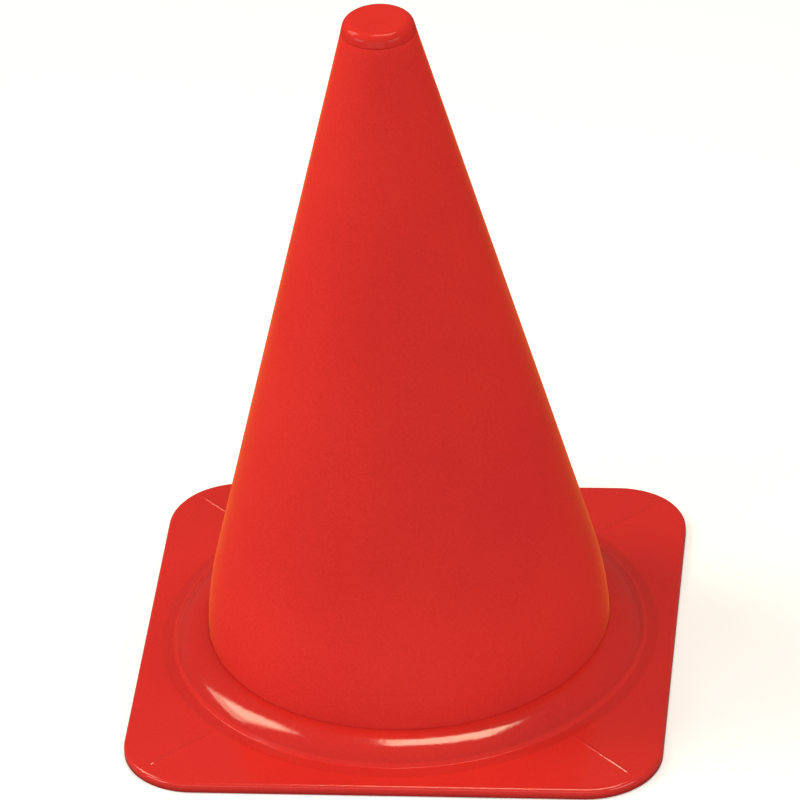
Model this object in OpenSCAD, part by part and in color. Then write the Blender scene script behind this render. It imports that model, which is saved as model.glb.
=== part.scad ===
// Traffic cone made of three mouldings: a hollow upright, a square base that drops over it
// and rests on its hidden flange, and a round cap pressed into the tip.
// Millimetres, +Z up, origin on the floor under the tip.

/* [Overall] */
// Height from the floor to the top of the cap
cone_h = 305; // [260:5:380]
// Width of the square base
base_w = 225; // [222:1:250]
// Radius of the base's corners, seen from above
corner_r = 31; // [24:1:40]
// Height of the base at its edge
rim_h = 4.5; // [4:0.25:5.5]

/* [Upright] */
// Radius of the wall at the very top, before the cap's edge is rounded
tip_r = 14; // [13:0.5:17]
// Radius that the straight wall would reach at the floor
floor_r = 92; // [91:0.5:95]
// Radius of the wall where it comes up through the base
foot_r = 85; // [84:0.25:86]
// Lean of the wall where it comes up through the base, in degrees
foot_lean = 3; // [2:0.5:5]
// Thickness of the wall, the flange and the skirt
wall_t = 2; // [1.6:0.1:2.2]

/* [Collar] */
// Height of the collar's shoulder at its hole
collar_h = 14.2; // [13.5:0.1:15]
// Radius of the shoulder's rounding
shoulder_r = 18; // [17:0.5:19]
// Slope at the shoulder's lower end, in degrees
shoulder_slope = 53; // [50:1:55]
// Height where the shoulder ends in the collar's foot
foot_h = 5.55; // [5.45:0.05:6]
// Slope of the collar's foot, which runs out into the plate, in degrees
foot_slope = 10; // [10:1:16]

/* [Base] */
// Thickness of the base's skin
skin_t = 2.2; // [1.8:0.1:2.4]
// Rise of the plate from its edge to its middle, per millimetre
plate_rise = 0.02; // [0.01:0.005:0.03]
// Bevel along the plate's top edge
edge_bevel = 1; // [0.5:0.25:1.5]
// Width of a diagonal rib
rib_w = 1.6; // [1.2:0.1:2.4]
// Height of a diagonal rib above the plate
rib_h = 0.6; // [0.4:0.1:1]
// Distance from the middle of the base to a rib's outer end
rib_reach = 141; // [125:1:141]

/* [Cap] */
// Height of the cap above the top of the upright
cap_h = 5.6; // [5:0.2:7]
// Radius of the cap's rounded edge
cap_round = 4; // [3:0.25:4.5]
// Thickness of the cap
cap_t = 2; // [1.6:0.1:2.4]
// Depth of the spigot inside the upright
spigot_h = 7; // [5:0.5:8]

/* [Clearances] */
// Gap between the upright and the base
gap = 0.35; // [0.3:0.05:0.6]
// Gap between the cap's spigot and the upright
cap_gap = 0.1; // [0.05:0.05:0.2]

/* [Hidden] */
$fn = 128;
arc_steps = 10;
bend_steps = 14;
beyond = 1;
clear_above = 20;

hole_r = foot_r + gap;
lean = atan((floor_r - tip_r) / cone_h);
shell_top = cone_h - cap_h;
shoulder_start = 2;
shoulder_mid = [hole_r - shoulder_r * sin(shoulder_start), collar_h - shoulder_r * cos(shoulder_start)];
bend_r = (tip_r * cos(lean) + cone_h * sin(lean) - foot_r * cos(lean) - collar_h * sin(lean))
    / (1 - cos(lean - foot_lean));
bend_mid = [foot_r - bend_r * cos(foot_lean), collar_h - bend_r * sin(foot_lean)];

// Points of an arc about a centre. Angles run from +Z towards +X.
function arc(mid, r, from, to, steps) = [
    for (i = [0:steps])
        let (a = from + (to - from) * i / steps)
            [mid[0] + r * sin(a), mid[1] + r * cos(a)]
];

// Radius of the wall's outside, or of a surface inside it, on its straight part
function wall_r(z, depth = 0) = tip_r + (cone_h - z) * tan(lean) - depth / cos(lean);

// Angle of an arc about the shoulder's centre where it reaches a given radius
function shoulder_angle(x, r) = asin((x - shoulder_mid[0]) / r);

// A square with round corners
module round_square(w, r) {
    square([w, w - 2 * r], center = true);
    square([w - 2 * r, w], center = true);
    for (x = [-1, 1], y = [-1, 1])
        translate([x * (w / 2 - r), y * (w / 2 - r)])
            circle(r);
}

// A plate whose sides lean in at 45 degrees above a given height
module bevelled_plate(w, r, straight_h, bevel_h) {
    linear_extrude(straight_h) round_square(w, r);
    translate([0, 0, straight_h]) {
        for (x = [-1, 1], y = [-1, 1])
            translate([x * (w / 2 - r), y * (w / 2 - r), 0])
                cylinder(h = bevel_h, r1 = r, r2 = r - bevel_h);
        for (turn = [0, 90])
            rotate([90, 0, turn])
                linear_extrude(w - 2 * r, center = true)
                    polygon([
                        [-w / 2, 0], [w / 2, 0], [w / 2 - bevel_h, bevel_h], [bevel_h - w / 2, bevel_h]
                    ]);
    }
}

// A long shallow roof, used twice to give the plate its four gentle slopes
module shallow_roof(turn) {
    top = rim_h + plate_rise * base_w / 2;
    rotate([90, 0, turn])
        linear_extrude(base_w, center = true)
            polygon([
                [-base_w / 2, 0], [base_w / 2, 0], [base_w / 2, rim_h], [0, top], [-base_w / 2, rim_h]
            ]);
}

// Radius at which the shoulder's straight lower end comes down to a given height
function shoulder_end(r, z) = shoulder_mid[0] + r * sin(shoulder_slope)
    + (shoulder_mid[1] + r * cos(shoulder_slope) - z) / tan(shoulder_slope);

// The collar's outside as a solid disc with a rounded shoulder and a gently sloping foot
module collar_outside() {
    foot_in = shoulder_end(shoulder_r, foot_h);
    foot_out = foot_in + (foot_h - rim_h) / tan(foot_slope);
    rotate_extrude()
        polygon(concat(
            [[0, 0], [0, collar_h]],
            arc(shoulder_mid, shoulder_r, shoulder_start, shoulder_slope, arc_steps),
            [[foot_in, foot_h], [foot_out, rim_h], [foot_out, 0]]
        ));
}

// The hole and the hollow under the collar
module collar_inside() {
    r = shoulder_r - skin_t;
    under_foot = foot_h - skin_t;
    under_plate = rim_h - skin_t;
    foot_in = shoulder_end(r, under_foot);
    foot_out = foot_in + (under_foot - under_plate) / tan(foot_slope);
    rotate_extrude()
        polygon(concat(
            [[0, -beyond], [0, clear_above], [hole_r, clear_above]],
            arc(shoulder_mid, r, shoulder_angle(hole_r, r), shoulder_slope, arc_steps),
            [[foot_in, under_foot], [foot_out, under_plate], [foot_out, -beyond]]
        ));
}

// A rib that runs out along one diagonal, with a round outer end
module diagonal_rib(from, reach, w, h) {
    linear_extrude(h) {
        translate([from, -w / 2]) square([reach - w / 2 - from, w]);
        translate([reach - w / 2, 0]) circle(w / 2);
    }
}

// Square base with its collar, drawn as one thin skin that is open underneath
module base_plate() {
    under_plate = rim_h - skin_t;
    straight_h = rim_h - edge_bevel;
    rib_top = rim_h + plate_rise * (base_w / 2 - rib_reach / sqrt(2)) + rib_h;
    color("#d8312b")
        difference() {
            union() {
                intersection() {
                    bevelled_plate(base_w, corner_r, straight_h, 3 * edge_bevel);
                    shallow_roof(0);
                    shallow_roof(90);
                }
                collar_outside();
                for (turn = [45:90:315])
                    rotate(turn)
                        diagonal_rib(foot_r, rib_reach, rib_w, rib_top);
            }
            difference() {
                translate([0, 0, -beyond])
                    linear_extrude(under_plate + beyond)
                        round_square(base_w - 2 * skin_t, corner_r - skin_t);
                for (turn = [45:90:315])
                    rotate(turn)
                        translate([0, 0, -2 * beyond])
                            diagonal_rib(foot_r, base_w / sqrt(2), skin_t, under_plate + 3 * beyond);
            }
            collar_inside();
        }
}

// Hollow upright: skirt, flange, bend and straight wall, as one closed outline
module cone_shell() {
    flange_r = shoulder_r - skin_t - gap;
    under_r = flange_r - wall_t;
    skirt_r = shoulder_mid[0] + flange_r * sin(shoulder_slope);
    inner_foot_r = foot_r - wall_t * cos(foot_lean);
    color("#d8332a")
        rotate_extrude()
            polygon(concat(
                [[skirt_r, 0]],
                arc(shoulder_mid, flange_r, shoulder_slope, shoulder_angle(foot_r, flange_r), arc_steps),
                arc(bend_mid, bend_r, 90 - foot_lean, 90 - lean, bend_steps),
                [[wall_r(shell_top), shell_top], [wall_r(shell_top, wall_t), shell_top]],
                arc(bend_mid, bend_r - wall_t, 90 - lean, 90 - foot_lean, bend_steps),
                arc(shoulder_mid, under_r, shoulder_angle(inner_foot_r, under_r),
                    shoulder_angle(skirt_r - wall_t, under_r), arc_steps),
                [[skirt_r - wall_t, 0]]
            ));
}

// Cap with a rounded edge, and a spigot that grips the inside of the upright
module tip_cap() {
    spigot_r = wall_r(shell_top, wall_t) - cap_gap;
    round_mid = [wall_r(cone_h - cap_round) - cap_round / cos(lean), cone_h - cap_round];
    color("#dc342c")
        rotate_extrude()
            polygon(concat(
                [[0, cone_h - cap_t], [0, cone_h]],
                arc(round_mid, cap_round, 0, 90 - lean, arc_steps),
                [
                    [wall_r(shell_top), shell_top],
                    [spigot_r, shell_top],
                    [spigot_r, shell_top - spigot_h],
                    [spigot_r - cap_t, shell_top - spigot_h],
                    [spigot_r - cap_t, cone_h - cap_t]
                ]
            ));
}

cone_shell();
base_plate();
tip_cap();
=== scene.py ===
"""Looks of a traffic cone: a grained upright, a smooth drop-over base and a cap, in soft studio light."""

import math

import bmesh
import bpy
import numpy as np
from mathutils import Matrix, Vector


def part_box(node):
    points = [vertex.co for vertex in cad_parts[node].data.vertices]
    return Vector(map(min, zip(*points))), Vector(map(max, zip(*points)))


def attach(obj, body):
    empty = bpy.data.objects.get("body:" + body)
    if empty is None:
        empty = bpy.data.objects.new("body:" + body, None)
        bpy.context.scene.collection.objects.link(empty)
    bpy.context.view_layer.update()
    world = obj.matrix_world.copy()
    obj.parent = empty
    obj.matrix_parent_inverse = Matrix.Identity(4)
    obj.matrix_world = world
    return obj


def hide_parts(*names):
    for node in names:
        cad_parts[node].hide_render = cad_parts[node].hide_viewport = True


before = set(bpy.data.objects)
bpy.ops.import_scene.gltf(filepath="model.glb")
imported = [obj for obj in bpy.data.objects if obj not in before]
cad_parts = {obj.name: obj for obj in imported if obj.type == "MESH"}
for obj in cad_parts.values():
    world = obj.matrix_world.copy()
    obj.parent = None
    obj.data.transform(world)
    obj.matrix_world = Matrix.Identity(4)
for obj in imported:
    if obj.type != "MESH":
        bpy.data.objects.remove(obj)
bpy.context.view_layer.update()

MM = 0.001


# ---------------------------------------------------------------- sizes, in millimetres

def node_corners(name):
    """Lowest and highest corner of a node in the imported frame."""
    low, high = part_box(name)
    return np.array(low) / MM, np.array(high) / MM


_, shell_high = node_corners("cone_shell")
_, base_high = node_corners("base_plate")
cap_low, cap_high = node_corners("tip_cap")

CONE_H = cap_high[2]
SHELL_TOP = shell_high[2]
BASE_HALF = base_high[0]
COLLAR_H = base_high[2]
SKIRT_R = shell_high[0]
CAP_R = cap_high[0]
SPIGOT_LOW = cap_low[2]

# Wall of the upright
WALL_T = 2.0
FOOT_R = 85.0
FOOT_LEAN = math.radians(3)
LEAN = math.atan(78 / 305)
TIP_R = CAP_R - (CONE_H - SHELL_TOP) * math.tan(LEAN)
WAVINESS = 0.12
WAVY_FROM = 60.0

# Base. The gap at the collar's top edge is smaller than the CAD's, because the photo shows no dark line
SKIN_T = 2.2
GAP = 0.35
EDGE_GAP = 0.05
HOLE_R = FOOT_R + GAP
BORE_R = FOOT_R + EDGE_GAP
SHOULDER_R = 18.0
SHOULDER_SLOPE = math.radians(53)
SHOULDER_START = math.radians(2)
FOOT_H = 5.55
FOOT_SLOPE = math.radians(10)
RIM_H = 4.5
PLATE_RISE = 0.02
CORNER_R = 31.0
EDGE_ROUND = 1.5
RIB_W = 1.6
RIB_H = 0.6
RIB_START = 104.0
RIB_REACH = 141.0
FOOT_CREASE = 0.05
PLATE_CREASE = 0.15

# Cap
CAP_ROUND = 4.0
CAP_T = 2.0
CAP_GAP = 0.1

# Centre and radius of the collar's shoulder and of the wall's bend above it
SHOULDER_MID = (
    HOLE_R - SHOULDER_R * math.sin(SHOULDER_START),
    COLLAR_H - SHOULDER_R * math.cos(SHOULDER_START),
)
BEND_ROOM = (TIP_R - FOOT_R) * math.cos(LEAN) + (CONE_H - COLLAR_H) * math.sin(LEAN)
BEND_R = BEND_ROOM / (1 - math.cos(LEAN - FOOT_LEAN))
BEND_MID = (FOOT_R - BEND_R * math.cos(FOOT_LEAN), COLLAR_H - BEND_R * math.sin(FOOT_LEAN))


def shoulder_end(r, z):
    """Radius at which the shoulder's straight lower end comes down to a height, for an arc radius r."""
    low = SHOULDER_MID[1] + r * math.cos(SHOULDER_SLOPE)
    return SHOULDER_MID[0] + r * math.sin(SHOULDER_SLOPE) + (low - z) / math.tan(SHOULDER_SLOPE)


FOOT_IN = shoulder_end(SHOULDER_R, FOOT_H)


# ---------------------------------------------------------------- outline helpers

def arc(mid, r, start, end, steps):
    """Points of an arc about a centre. Angles run from +Z towards +X."""
    angles = np.linspace(start, end, steps + 1)
    return [(mid[0] + r * math.sin(a), mid[1] + r * math.cos(a)) for a in angles]


def line(start, end, steps):
    """Points along a straight stretch, without its two ends."""
    return [
        (start[0] + (end[0] - start[0]) * t, start[1] + (end[1] - start[1]) * t)
        for t in np.linspace(0, 1, steps + 1)[1:-1]
    ]


def rounded(corners, steps=5):
    """Outline through corners (r, z, radius), each one rounded to its radius."""
    points = []
    count = len(corners)
    for i, (r, z, radius) in enumerate(corners):
        here = Vector((r, z))
        before = Vector(corners[i - 1][:2]) - here
        after = Vector(corners[(i + 1) % count][:2]) - here
        turn = before.angle(after)
        reach = radius / math.tan(turn / 2)
        reach = min(reach, before.length * 0.48, after.length * 0.48)
        start = here + before.normalized() * reach
        end = here + after.normalized() * reach
        for t in np.linspace(0, 1, steps + 1):
            p = start.lerp(here, t).lerp(here.lerp(end, t), t)
            points.append((p.x, p.y))
    return points


def smooth_max(a, b, width):
    """The larger of two heights, with the crease between them rounded over a width."""
    h = np.maximum(width - np.abs(a - b), 0) / width
    return np.maximum(a, b) + h * h * width / 4


def smooth_step(low, high, x):
    """0 below low, 1 above high, and a smooth rise between."""
    t = np.clip((x - low) / (high - low), 0, 1)
    return t * t * (3 - 2 * t)


def link_mesh(name, points, faces):
    """A smooth-shaded mesh object from points in millimetres."""
    mesh = bpy.data.meshes.new(name)
    mesh.from_pydata((np.asarray(points) * MM).tolist(), [], faces)
    faced = bmesh.new()
    faced.from_mesh(mesh)
    bmesh.ops.recalc_face_normals(faced, faces=faced.faces)
    faced.to_mesh(mesh)
    faced.free()
    mesh.shade_smooth()
    piece = bpy.data.objects.new(name, mesh)
    bpy.context.scene.collection.objects.link(piece)
    return piece


def loop_faces(stations, ring):
    """Quads between closed outlines, one outline per station, closed both ways."""
    faces = []
    for i in range(stations):
        j = (i + 1) % stations
        for k in range(ring):
            n = (k + 1) % ring
            faces.append((i * ring + k, j * ring + k, j * ring + n, i * ring + n))
    return faces


def lathe(name, outline, steps, waviness):
    """Turns a closed outline about Z. Waviness makes the wall a little out of round, above the collar."""
    angles = np.linspace(0, 2 * math.pi, steps, endpoint=False)
    points = []
    for a in angles:
        for r, z in outline:
            swell = waviness * smooth_step(COLLAR_H, WAVY_FROM, z) * (
                0.6 * math.sin(2 * a + 0.7 + z * 0.012)
                + 0.3 * math.sin(3 * a + 2.1 - z * 0.02)
                + 0.1 * math.sin(7 * a + z * 0.05)
            )
            points.append(((r + swell) * math.cos(a), (r + swell) * math.sin(a), z))
    return link_mesh(name, points, loop_faces(steps, len(outline)))


def lathe_to_axis(name, outline, steps):
    """Turns an outline whose two ends lie on the axis."""
    angles = np.linspace(0, 2 * math.pi, steps, endpoint=False)
    ring = outline[1:-1]
    count = len(ring)
    points = [(r * math.cos(a), r * math.sin(a), z) for a in angles for r, z in ring]
    first = len(points)
    points += [(0, 0, outline[0][1]), (0, 0, outline[-1][1])]
    faces = []
    for i in range(steps):
        j = (i + 1) % steps
        for k in range(count - 1):
            faces.append((i * count + k, j * count + k, j * count + k + 1, i * count + k + 1))
        faces.append((first, j * count, i * count))
        faces.append((i * count + count - 1, j * count + count - 1, first + 1))
    return link_mesh(name, points, faces)


# ---------------------------------------------------------------- upright

def wall_r(z, depth=0.0):
    """Radius of the wall on its straight part, at a depth inside its outer face."""
    return TIP_R + (CONE_H - z) * math.tan(LEAN) - depth / math.cos(LEAN)


def make_upright():
    """The hollow upright, as one outline: up the outside from the skirt, and down the inside."""
    flange_r = SHOULDER_R - SKIN_T - GAP
    under_r = flange_r - WALL_T
    inner_foot = FOOT_R - WALL_T * math.cos(FOOT_LEAN)
    half_pi = math.pi / 2

    def at_radius(x, r):
        return math.asin((x - SHOULDER_MID[0]) / r)

    top_out = wall_r(SHELL_TOP)
    top_in = wall_r(SHELL_TOP, WALL_T)
    skirt_in = SKIRT_R - WALL_T
    outer_bend = arc(BEND_MID, BEND_R, half_pi - FOOT_LEAN, half_pi - LEAN, 40)
    inner_bend = arc(BEND_MID, BEND_R - WALL_T, half_pi - LEAN, half_pi - FOOT_LEAN, 40)
    outline = (
        [(SKIRT_R - 0.4, 0), (SKIRT_R - 0.1, 0.1), (SKIRT_R, 0.4)]
        + arc(SHOULDER_MID, flange_r, SHOULDER_SLOPE, at_radius(FOOT_R, flange_r), 20)
        + outer_bend
        + line(outer_bend[-1], (top_out, SHELL_TOP), 60)
        + [(top_out + 0.08, SHELL_TOP - 0.3), (top_out - 0.1, SHELL_TOP - 0.06), (top_out - 0.3, SHELL_TOP)]
        + [(top_in + 0.3, SHELL_TOP), (top_in + 0.08, SHELL_TOP - 0.1), (top_in + 0.05, SHELL_TOP - 0.3)]
        + line((top_in, SHELL_TOP), inner_bend[0], 60)
        + inner_bend
        + arc(SHOULDER_MID, under_r, at_radius(inner_foot, under_r), at_radius(skirt_in, under_r), 20)
        + [(skirt_in, 0.4), (skirt_in + 0.1, 0.1), (skirt_in + 0.4, 0)]
    )
    return lathe("upright", outline, 360, WAVINESS)


# ---------------------------------------------------------------- cap

def make_cap():
    """The cap, as one outline: over the top, down to the seam, round the spigot and back to the axis."""
    spigot_r = wall_r(SHELL_TOP, WALL_T) - CAP_GAP
    round_mid = (wall_r(CONE_H - CAP_ROUND) - CAP_ROUND / math.cos(LEAN), CONE_H - CAP_ROUND)
    edge = arc(round_mid, CAP_ROUND, 0, math.pi / 2 - LEAN, 24)
    seam_r = wall_r(SHELL_TOP)
    top = [(0, CONE_H)] + line((0, CONE_H), edge[0], 14)
    skirt = line(edge[-1], (seam_r, SHELL_TOP), 4)
    seam = [(seam_r - 0.08, SHELL_TOP + 0.3), (seam_r - 0.16, SHELL_TOP + 0.08), (seam_r - 0.4, SHELL_TOP)]
    spigot = rounded(
        [
            (spigot_r, SHELL_TOP, 0.2),
            (spigot_r, SPIGOT_LOW, 0.5),
            (spigot_r - CAP_T, SPIGOT_LOW, 0.5),
            (spigot_r - CAP_T, CONE_H - CAP_T, 1.0),
        ]
    )[1:]
    under = line((spigot_r - CAP_T - 1, CONE_H - CAP_T), (2.2, CONE_H - CAP_T), 6)
    # The stub left where the moulding was cut from its gate
    gate = [(1.6, CONE_H - CAP_T), (1.3, CONE_H - CAP_T - 0.5), (0.8, CONE_H - CAP_T - 0.7)]
    outline = top + edge + skirt + seam + spigot + under + gate + [(0, CONE_H - CAP_T - 0.75)]
    return lathe_to_axis("cap", outline, 256)


# ---------------------------------------------------------------- base

UNDER_R = SHOULDER_R - SKIN_T
UNDER_PLATE = RIM_H - SKIN_T
UNDER_FOOT = FOOT_H - SKIN_T
UNDER_IN = shoulder_end(UNDER_R, UNDER_FOOT)
UNDER_OUT = UNDER_IN + (UNDER_FOOT - UNDER_PLATE) / math.tan(FOOT_SLOPE)
WEB_LOW = 0.12
BORE_ROUND = 0.12

# Points down the side of the rim, and across its foot: how far in from the outline, and height
RIM_SIDE = ((0.0, 2.4), (0.03, 1.9), (0.0, 1.7), (0.03, 1.5), (0.05, 0.35), (0.15, 0.1), (0.4, 0.0))
LIP_TOP = 0.1
RIM_LIP = ((SKIN_T - 0.4, 0.0), (SKIN_T - 0.1, 0.06), (SKIN_T, LIP_TOP))

# How far from the axis the points over the collar are. They are close together at its creases
COLLAR_RADII = np.concatenate(
    [
        np.linspace(HOLE_R + 0.6, 99.6, 38),
        np.linspace(99.75, 100.9, 16),
        np.linspace(101.3, 104.6, 8),
        np.linspace(104.8, 107, 12),
    ]
)
PLATE_STEPS = 26


def edge_angles():
    """Angles round the base, close together where the diagonal ribs run."""
    angles = []
    for quarter in range(4):
        start = quarter * 90 - 45
        near = np.concatenate([np.arange(0, 0.6, 0.05), np.arange(0.6, 1.6, 0.2)])
        far = np.linspace(1.6, 88.4, 100)
        angles += list(start + near) + list(start + far) + list(start + 90 - near[:0:-1])
    return np.radians(np.array(angles))


def edge_point(angle, half, corner):
    """Point on a round-cornered square in a given direction, and the outward direction there."""
    c, s = math.cos(angle), math.sin(angle)
    flat = half - corner
    reach = half / max(abs(c), abs(s))
    x, y = c * reach, s * reach
    if min(abs(x), abs(y)) <= flat:
        normal = (math.copysign(1, c), 0) if abs(c) > abs(s) else (0, math.copysign(1, s))
        return np.array((x, y)), np.array(normal)
    mid = np.array((math.copysign(flat, c), math.copysign(flat, s)))
    along = mid @ np.array((c, s))
    reach = along + math.sqrt(along**2 - mid @ mid + corner**2)
    point = np.array((c, s)) * reach
    return point, (point - mid) / corner


def plate_height(x, y):
    """Top of the plate: four gentle slopes that meet on the diagonals."""
    away = smooth_max(np.abs(x), np.abs(y), 3.0)
    return RIM_H + PLATE_RISE * (BASE_HALF - away)


def rib_profile(x, y, width, start, reach):
    """1 on the ridge of a diagonal rib, falling evenly to 0 at its sides and at its round outer end."""
    along = (np.abs(x) + np.abs(y)) / math.sqrt(2)
    across = (np.abs(x) - np.abs(y)) / math.sqrt(2)
    past = np.maximum(along - (reach - width / 2), 0)
    distance = np.hypot(across, past) / (width / 2)
    ridge = 1 - np.sqrt(distance**2 + 0.06)
    return np.maximum(ridge, 0) * smooth_step(start, start + 6, along)


def collar_height(r):
    """Top of the collar: a round shoulder that ends steeply on a gently sloping foot."""
    mid_r, mid_z = SHOULDER_MID
    end_r = mid_r + SHOULDER_R * math.sin(SHOULDER_SLOPE)
    inside = np.clip(SHOULDER_R**2 - (r - mid_r) ** 2, 0, None)
    steep = FOOT_H + (FOOT_IN - r) * math.tan(SHOULDER_SLOPE)
    shoulder = np.where(r < end_r, mid_z + np.sqrt(inside), steep)
    foot = FOOT_H + (FOOT_IN - r) * math.tan(FOOT_SLOPE)
    return smooth_max(shoulder, foot, FOOT_CREASE)


def top_height(x, y):
    """Top of the base: the collar, the plate and its ribs."""
    r = np.hypot(x, y)
    rib = RIB_H * rib_profile(x, y, RIB_W, RIB_START, RIB_REACH)
    return smooth_max(collar_height(r), plate_height(x, y) + rib, PLATE_CREASE)


def bore_outline():
    """Points (r, z) up the bore and round its top edge."""
    hole_low = SHOULDER_MID[1] + math.sqrt(UNDER_R**2 - (HOLE_R - SHOULDER_MID[0]) ** 2)
    side = [(HOLE_R + 0.15, hole_low + 0.05), (HOLE_R, hole_low + 0.25), (BORE_R, COLLAR_H - BORE_ROUND)]
    edge = [
        (BORE_R + BORE_ROUND * (1 - math.cos(a)), COLLAR_H - BORE_ROUND * (1 - math.sin(a)))
        for a in np.linspace(0.25, math.pi / 2, 6)
    ]
    return side + edge


def under_outline():
    """Points (r, z) under the foot of the collar and up the inside of its shoulder."""
    foot = [
        (UNDER_OUT + 0.1, UNDER_PLATE + 0.02),
        (UNDER_OUT - 0.6, UNDER_PLATE + 0.1),
        (UNDER_IN + 0.5, UNDER_FOOT - 0.08),
        (UNDER_IN + 0.1, UNDER_FOOT + 0.04),
        (UNDER_IN - 0.3, UNDER_FOOT + 0.4),
    ]
    end = math.asin((HOLE_R + 0.4 - SHOULDER_MID[0]) / UNDER_R)
    return foot + arc(SHOULDER_MID, UNDER_R, SHOULDER_SLOPE, end, 22)


def turn_to(direction, outline):
    """An outline of (r, z) points, stood up in one direction from the axis."""
    return [(direction[0] * r, direction[1] * r, z) for r, z in outline]


def top_points(direction, inset):
    """Points over the collar and the plate, out to where the rim's rounding starts."""
    spots = [direction * r for r in COLLAR_RADII]
    start = spots[-1]
    spots += [start + (inset - start) * t for t in np.linspace(0, 1, PLATE_STEPS + 1)[1:]]
    return [(x, y, float(top_height(x, y))) for x, y in spots]


def rim_points(edge, outward, top):
    """Points over the rim's rounding, down its side and round its foot to the inside."""
    points = []
    for a in np.radians(np.linspace(90, 0, 9)[1:]):
        x, y = edge - outward * EDGE_ROUND * (1 - math.cos(a))
        points.append((x, y, top - EDGE_ROUND * (1 - math.sin(a))))
    for d, z in RIM_SIDE + RIM_LIP:
        x, y = edge - outward * d
        points.append((x, y, z))
    return points


def under_points(direction, edge, outward):
    """Points along the underside of the plate, or along the web where one runs this way."""
    out_on_web = direction * 120
    web = float(rib_profile(*out_on_web, SKIN_T, 90, 200)) > 0
    low = WEB_LOW if web else UNDER_PLATE
    points = []
    for d, part in ((SKIN_T + 0.03, 0.6), (SKIN_T + 0.15, 0.9), (SKIN_T + 0.5, 1.0)):
        x, y = edge - outward * d
        points.append((x, y, LIP_TOP + (low - LIP_TOP) * part))
    inner = edge - outward * (SKIN_T + 0.5)
    end = direction * (UNDER_OUT + 0.6)
    for t in np.linspace(0, 1, 22)[1:]:
        x, y = inner + (end - inner) * t
        points.append((x, y, low))
    return points


def base_profile(angle):
    """Closed outline of the base in one direction, from the bore over the top and back underneath."""
    direction = np.array((math.cos(angle), math.sin(angle)))
    edge, outward = edge_point(angle, BASE_HALF, CORNER_R)
    top = top_points(direction, edge - outward * EDGE_ROUND)
    return (
        turn_to(direction, bore_outline())
        + top
        + rim_points(edge, outward, top[-1][2])
        + under_points(direction, edge, outward)
        + turn_to(direction, under_outline())
    )


def make_base():
    """The base: one closed outline in every direction from the axis."""
    profiles = [base_profile(angle) for angle in edge_angles()]
    points = [point for profile in profiles for point in profile]
    return link_mesh("base", points, loop_faces(len(profiles), len(profiles[0])))


# ---------------------------------------------------------------- materials

# How strongly the fine grain shows in the colour, how much roughness scuffs add, and the ripples' depth
SPECKS = 2.4
SCUFFS = 0.05
RIPPLE_DEPTH = 0.0004
SHEEN_ROUGHNESS = 0.22
SHEEN_ORANGE = (1.0, 0.30, 0.07)


def new_material(name):
    """A material, its node tree and its shader."""
    material = bpy.data.materials.new(name)
    material.use_nodes = True
    tree = material.node_tree
    return material, tree, tree.nodes["Principled BSDF"]


def node(tree, kind, **values):
    """A node with some of its properties, or else its inputs, set by name."""
    made = tree.nodes.new(kind)
    for key, value in values.items():
        if hasattr(made, key):
            setattr(made, key, value)
        else:
            made.inputs[key].default_value = value
    return made


def noise(tree, where, **values):
    """Noise in object space, from 0 to 1."""
    texture = node(tree, "ShaderNodeTexNoise", **values)
    tree.links.new(where, texture.inputs["Vector"])
    return texture.outputs["Fac"]


def ramp(tree, value, start, end, low, high, kind="LINEAR"):
    """A value that goes from low to high while another one goes from start to end."""
    made = node(tree, "ShaderNodeMapRange", interpolation_type=kind)
    made.inputs["From Min"].default_value = start
    made.inputs["From Max"].default_value = end
    made.inputs["To Min"].default_value = low
    made.inputs["To Max"].default_value = high
    tree.links.new(value, made.inputs["Value"])
    return made.outputs["Result"]


def clouded_colour(tree, colour, cloud, grain):
    """A colour that varies a little in broad clouds and in fine specks."""
    red, green, blue = colour
    tint = node(tree, "ShaderNodeMix", data_type="RGBA")
    tint.inputs[6].default_value = (red * 0.92, green * 0.9, blue * 0.95, 1)
    tint.inputs[7].default_value = (red, green * 1.08, blue, 1)
    shift = node(tree, "ShaderNodeMath", operation="SUBTRACT")
    shift.inputs[1].default_value = SPECKS / 2
    tree.links.new(ramp(tree, cloud, 0.3, 0.7, 0.0, 1.0), shift.inputs[0])
    speck = node(tree, "ShaderNodeMath", operation="MULTIPLY_ADD", use_clamp=True)
    speck.inputs[1].default_value = SPECKS
    tree.links.new(grain, speck.inputs[0])
    tree.links.new(shift.outputs[0], speck.inputs[2])
    tree.links.new(speck.outputs[0], tint.inputs[0])
    return tint.outputs[2]


def paint_light_and_shade(tree, colour, where, painted_light_and_shade):
    """A colour with painted light and shade: made brighter or darker by height above the floor and by
    distance from the axis.
    """
    parts = node(tree, "ShaderNodeSeparateXYZ")
    tree.links.new(where, parts.inputs[0])
    flat = node(tree, "ShaderNodeVectorMath", operation="MULTIPLY")
    flat.inputs[1].default_value = (1, 1, 0)
    tree.links.new(where, flat.inputs[0])
    radius = node(tree, "ShaderNodeVectorMath", operation="LENGTH")
    tree.links.new(flat.outputs["Vector"], radius.inputs[0])
    measures = {"height": parts.outputs["Z"], "radius": radius.outputs["Value"]}
    for measure, start, end, low, high in painted_light_and_shade:
        strength = ramp(tree, measures[measure], start, end, low, high, "SMOOTHSTEP")
        scaled = node(tree, "ShaderNodeVectorMath", operation="SCALE")
        tree.links.new(colour, scaled.inputs[0])
        tree.links.new(strength, scaled.inputs["Scale"])
        colour = scaled.outputs["Vector"]
    return colour


def worn_roughness(tree, roughness, pit_roughness, scuff, grain):
    """A roughness with faint scuffs, and with rougher specks."""
    total = node(tree, "ShaderNodeMath", operation="ADD", use_clamp=True)
    tree.links.new(ramp(tree, scuff, 0.35, 0.75, roughness, roughness + SCUFFS), total.inputs[0])
    tree.links.new(ramp(tree, grain, 0.52, 0.66, 0.0, pit_roughness, "SMOOTHSTEP"), total.inputs[1])
    return total.outputs[0]


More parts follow.
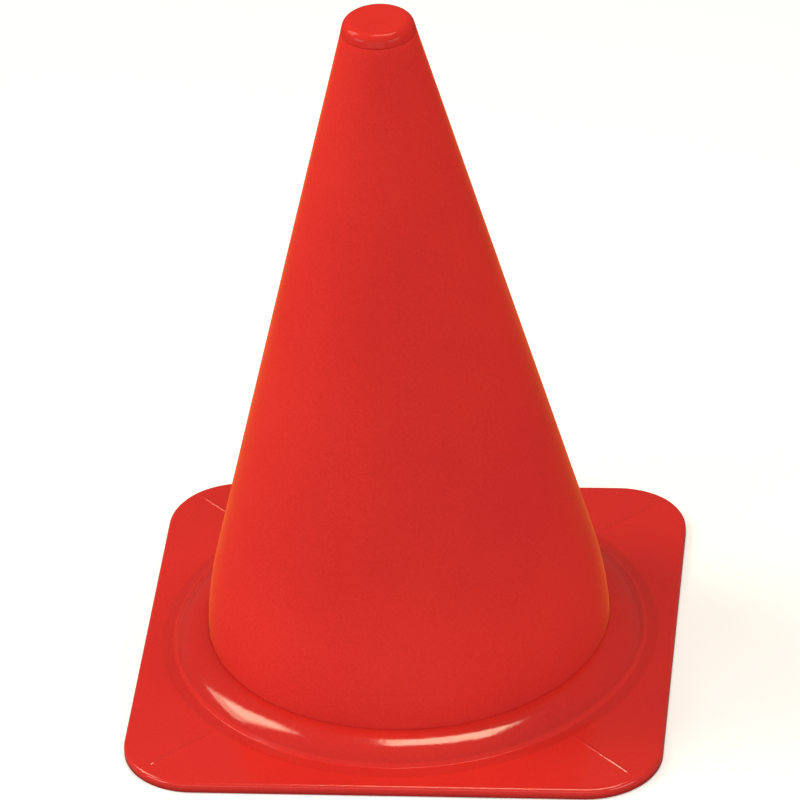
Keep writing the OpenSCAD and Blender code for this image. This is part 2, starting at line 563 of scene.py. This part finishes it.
def grained_normal(tree, grain_depth, ripple, grain):
    """A surface with slow ripples and fine grain on them."""
    waves = node(tree, "ShaderNodeBump", Strength=0.25, Distance=RIPPLE_DEPTH)
    tree.links.new(ripple, waves.inputs["Height"])
    fine = node(tree, "ShaderNodeBump", Strength=0.6, Distance=grain_depth)
    tree.links.new(grain, fine.inputs["Height"])
    tree.links.new(waves.outputs["Normal"], fine.inputs["Normal"])
    return fine.outputs["Normal"]


def plastic(name, colour, roughness, pit_roughness, grain_size, grain_depth, specular, sheen, painted_light_and_shade):
    """Moulded red plastic with fine grain, faint clouding, a few light scuffs, and painted light and shade
    by height and radius. Lengths are in metres.
    """
    material, tree, shader = new_material(name)
    where = node(tree, "ShaderNodeTexCoord").outputs["Object"]
    cloud = noise(tree, where, Scale=14.0, Detail=3.0, Roughness=0.5)
    grain = noise(tree, where, Scale=1 / grain_size, Detail=2.0, Roughness=0.6)
    ripple = noise(tree, where, Scale=60.0, Detail=2.0, Roughness=0.5)
    scuff = noise(tree, where, Scale=220.0, Detail=4.0, Roughness=0.7, Distortion=1.4)
    tint = clouded_colour(tree, colour, cloud, grain)
    worn = worn_roughness(tree, roughness, pit_roughness, scuff, grain)
    tree.links.new(paint_light_and_shade(tree, tint, where, painted_light_and_shade), shader.inputs["Base Color"])
    tree.links.new(worn, shader.inputs["Roughness"])
    tree.links.new(grained_normal(tree, grain_depth, ripple, grain), shader.inputs["Normal"])
    shader.inputs["Specular IOR Level"].default_value = specular
    shader.inputs["Sheen Weight"].default_value = sheen
    shader.inputs["Sheen Roughness"].default_value = SHEEN_ROUGHNESS
    shader.inputs["Sheen Tint"].default_value = (*SHEEN_ORANGE, 1)
    return material


UPRIGHT_RED = (0.62, 0.030, 0.026)
BASE_RED = (0.642, 0.025, 0.021)
CAP_RED = (0.58, 0.026, 0.022)

# Painted light and shade on a piece: the colour is made brighter or darker from one height or radius to
# another, in metres, with its strength at each of the two
# Painted light: the upright's colour is 12% brighter towards its foot, standing in for light bounced up
# from the floor and base
UPRIGHT_PAINTED_FOOT_LIGHT = [("height", 0.014, 0.090, 1.12, 1.0)]
BASE_PAINTED_SHADE_AND_HIGHLIGHT = [
    # Painted shade: the base darkens to 0.55 of its colour towards the floor, along the bottom of the rim
    ("height", 0.0006, 0.0032, 0.55, 1.0),
    # Painted highlight: a thin ring 18% brighter, between about 99.5 and 100.3 mm from the axis; the second
    # step brings the colour back
    ("radius", 0.0987, 0.0995, 1.0, 1.18),
    ("radius", 0.1003, 0.1010, 1.0, 0.85),
    # Painted shade: the collar is 10% darker than the plate, inside about 104.6 mm from the axis
    ("radius", 0.1046, 0.1062, 0.90, 1.0),
]

upright_plastic = plastic(
    "upright_plastic",
    UPRIGHT_RED,
    roughness=0.50,
    pit_roughness=0.10,
    grain_size=0.0011,
    grain_depth=0.00022,
    specular=0.0,
    sheen=0.8,
    painted_light_and_shade=UPRIGHT_PAINTED_FOOT_LIGHT,
)
base_plastic = plastic(
    "base_plastic",
    BASE_RED,
    roughness=0.08,
    pit_roughness=0.07,
    grain_size=0.0012,
    grain_depth=0.00005,
    specular=0.5,
    sheen=0.0,
    painted_light_and_shade=BASE_PAINTED_SHADE_AND_HIGHLIGHT,
)
cap_plastic = plastic(
    "cap_plastic",
    CAP_RED,
    roughness=0.07,
    pit_roughness=0.03,
    grain_size=0.0011,
    grain_depth=0.00001,
    specular=0.10,
    sheen=0.25,
    painted_light_and_shade=[],
)


# ---------------------------------------------------------------- pieces

def add(piece, body, material, cad_node):
    """Puts a piece on its body in place of its CAD node."""
    piece.data.materials.append(material)
    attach(piece, body)
    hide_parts(cad_node)


add(make_upright(), "upright", upright_plastic, "cone_shell")
add(make_cap(), "upright", cap_plastic, "tip_cap")
add(make_base(), "base", base_plastic, "base_plate")


# ---------------------------------------------------------------- floor, light and camera

# Colours of the light, and of the floor
WARM = (1.0, 0.96, 0.91)
PEACH = (1.0, 0.90, 0.63)
FLOOR_WHITE = (0.86, 0.90, 1.00)
# How bright glossy rays see the floor, near the object and further out, and between which distances
# from the axis the one turns into the other
GLOSS_NEAR = 0.16
GLOSS_FAR = 0.04
GLOSS_START = 0.13
GLOSS_END = 0.20
# How much the floor glows to the camera, and how bright the surroundings are
FLOOR_GLOW = 0.25
WORLD_FRONT = 0.25
WORLD_BACK = 0.14


def make_floor():
    """A plain pale floor. Only glossy rays see it dark, as the photo's reflections show it."""
    half = 6.0
    corners = [(-half, -half, 0), (half, -half, 0), (half, half, 0), (-half, half, 0)]
    mesh = bpy.data.meshes.new("floor")
    mesh.from_pydata(corners, [], [(0, 1, 2, 3)])
    floor = bpy.data.objects.new("floor", mesh)
    bpy.context.scene.collection.objects.link(floor)
    material, tree, shader = new_material("floor")
    where = node(tree, "ShaderNodeTexCoord")
    radius = node(tree, "ShaderNodeVectorMath", operation="LENGTH")
    tree.links.new(where.outputs["Object"], radius.inputs[0])
    dark = ramp(tree, radius.outputs["Value"], GLOSS_START, GLOSS_END, GLOSS_NEAR, GLOSS_FAR, "SMOOTHSTEP")
    path = node(tree, "ShaderNodeLightPath")
    seen = node(tree, "ShaderNodeMix", data_type="RGBA")
    seen.inputs[6].default_value = (*FLOOR_WHITE, 1)
    tree.links.new(dark, seen.inputs[7])
    tree.links.new(path.outputs["Is Glossy Ray"], seen.inputs[0])
    tree.links.new(seen.outputs[2], shader.inputs["Base Color"])
    glow = node(tree, "ShaderNodeMath", operation="MULTIPLY")
    glow.inputs[1].default_value = FLOOR_GLOW
    tree.links.new(path.outputs["Is Camera Ray"], glow.inputs[0])
    tree.links.new(glow.outputs[0], shader.inputs["Emission Strength"])
    shader.inputs["Emission Color"].default_value = (1, 1, 1, 1)
    shader.inputs["Roughness"].default_value = 0.7
    shader.inputs["Specular IOR Level"].default_value = 0.2
    mesh.materials.append(material)


def softbox(name, at, facing, size, radiance, colour):
    """A rectangular light at one place, facing another, in metres. Radiance is its surface brightness."""
    light = bpy.data.lights.new(name, "AREA")
    light.shape = "RECTANGLE"
    light.size, light.size_y = size
    light.energy = radiance * math.pi * size[0] * size[1]
    light.color = colour
    lamp = bpy.data.objects.new(name, light)
    away = Vector(at) - Vector(facing)
    lamp.location = at
    lamp.rotation_euler = away.to_track_quat("Z", "Y").to_euler()
    bpy.context.scene.collection.objects.link(lamp)
    return lamp


def make_world():
    """Soft light from all round, a little darker behind the object."""
    world = bpy.data.worlds.new("studio")
    bpy.context.scene.world = world
    world.use_nodes = True
    tree = world.node_tree
    where = node(tree, "ShaderNodeTexCoord")
    split = node(tree, "ShaderNodeSeparateXYZ")
    tree.links.new(where.outputs["Generated"], split.inputs[0])
    back = tree.nodes["Background"]
    back.inputs["Color"].default_value = (*WARM, 1)
    strength = ramp(tree, split.outputs["Y"], -1.0, 0.5, WORLD_FRONT, WORLD_BACK)
    tree.links.new(strength, back.inputs["Strength"])


def make_lights():
    """The peach boxes draw the highlights on the collar and the cap. The fills shade the upright."""
    make_world()
    softbox("left_key", (-1.26, 0.185, 1.48), (-0.06, 0.185, 1.48), (0.64, 1.61), 5.0, PEACH)
    softbox("left_core", (-1.25, 0.185, 1.48), (-0.06, 0.185, 1.48), (0.46, 1.10), 5.5, PEACH)
    softbox("overhead", (0.195, 0.075, 1.51), (0.195, 0.075, 0), (0.75, 0.48), 11.5, PEACH)
    softbox("front_fill", (-0.2, -2.3, 0.50), (0, 0, 0.12), (2.4, 0.7), 1.4, WARM)
    softbox("left_fill", (-1.76, -1.23, 0.56), (0, 0, 0.1), (1.2, 0.7), 5.3, WARM)
    softbox("right_fill", (1.73, -1.3, 0.56), (0, 0, 0.1), (1.4, 0.7), 4.4, WARM)


def make_camera():
    """A long lens, looking down at the cone from the front and a little from its right."""
    camera = bpy.data.cameras.new("camera")
    camera.lens = 330.5
    camera.sensor_width = 36
    camera.clip_end = 50
    shot = bpy.data.objects.new("camera", camera)
    bpy.context.scene.collection.objects.link(shot)
    bpy.context.scene.camera = shot
    azimuth, elevation, roll = math.radians(6.8), math.radians(32.97), math.radians(-3.01)
    distance = 3.055
    target = Vector((0.0009, 0, 0.3993 * CONE_H * MM))
    level = math.cos(elevation)
    away = Vector((math.sin(azimuth) * level, -math.cos(azimuth) * level, math.sin(elevation)))
    turn = away.to_track_quat("Z", "Y") @ Matrix.Rotation(roll, 3, "Z").to_quaternion()
    shot.location = target + away * distance
    shot.rotation_euler = turn.to_euler()


def set_colour():
    """Plain colours, with no film look."""
    view = bpy.context.scene.view_settings
    view.view_transform = "Standard"
    view.look = "None"
    view.exposure = 0.0


make_floor()
make_lights()
make_camera()
set_colour()
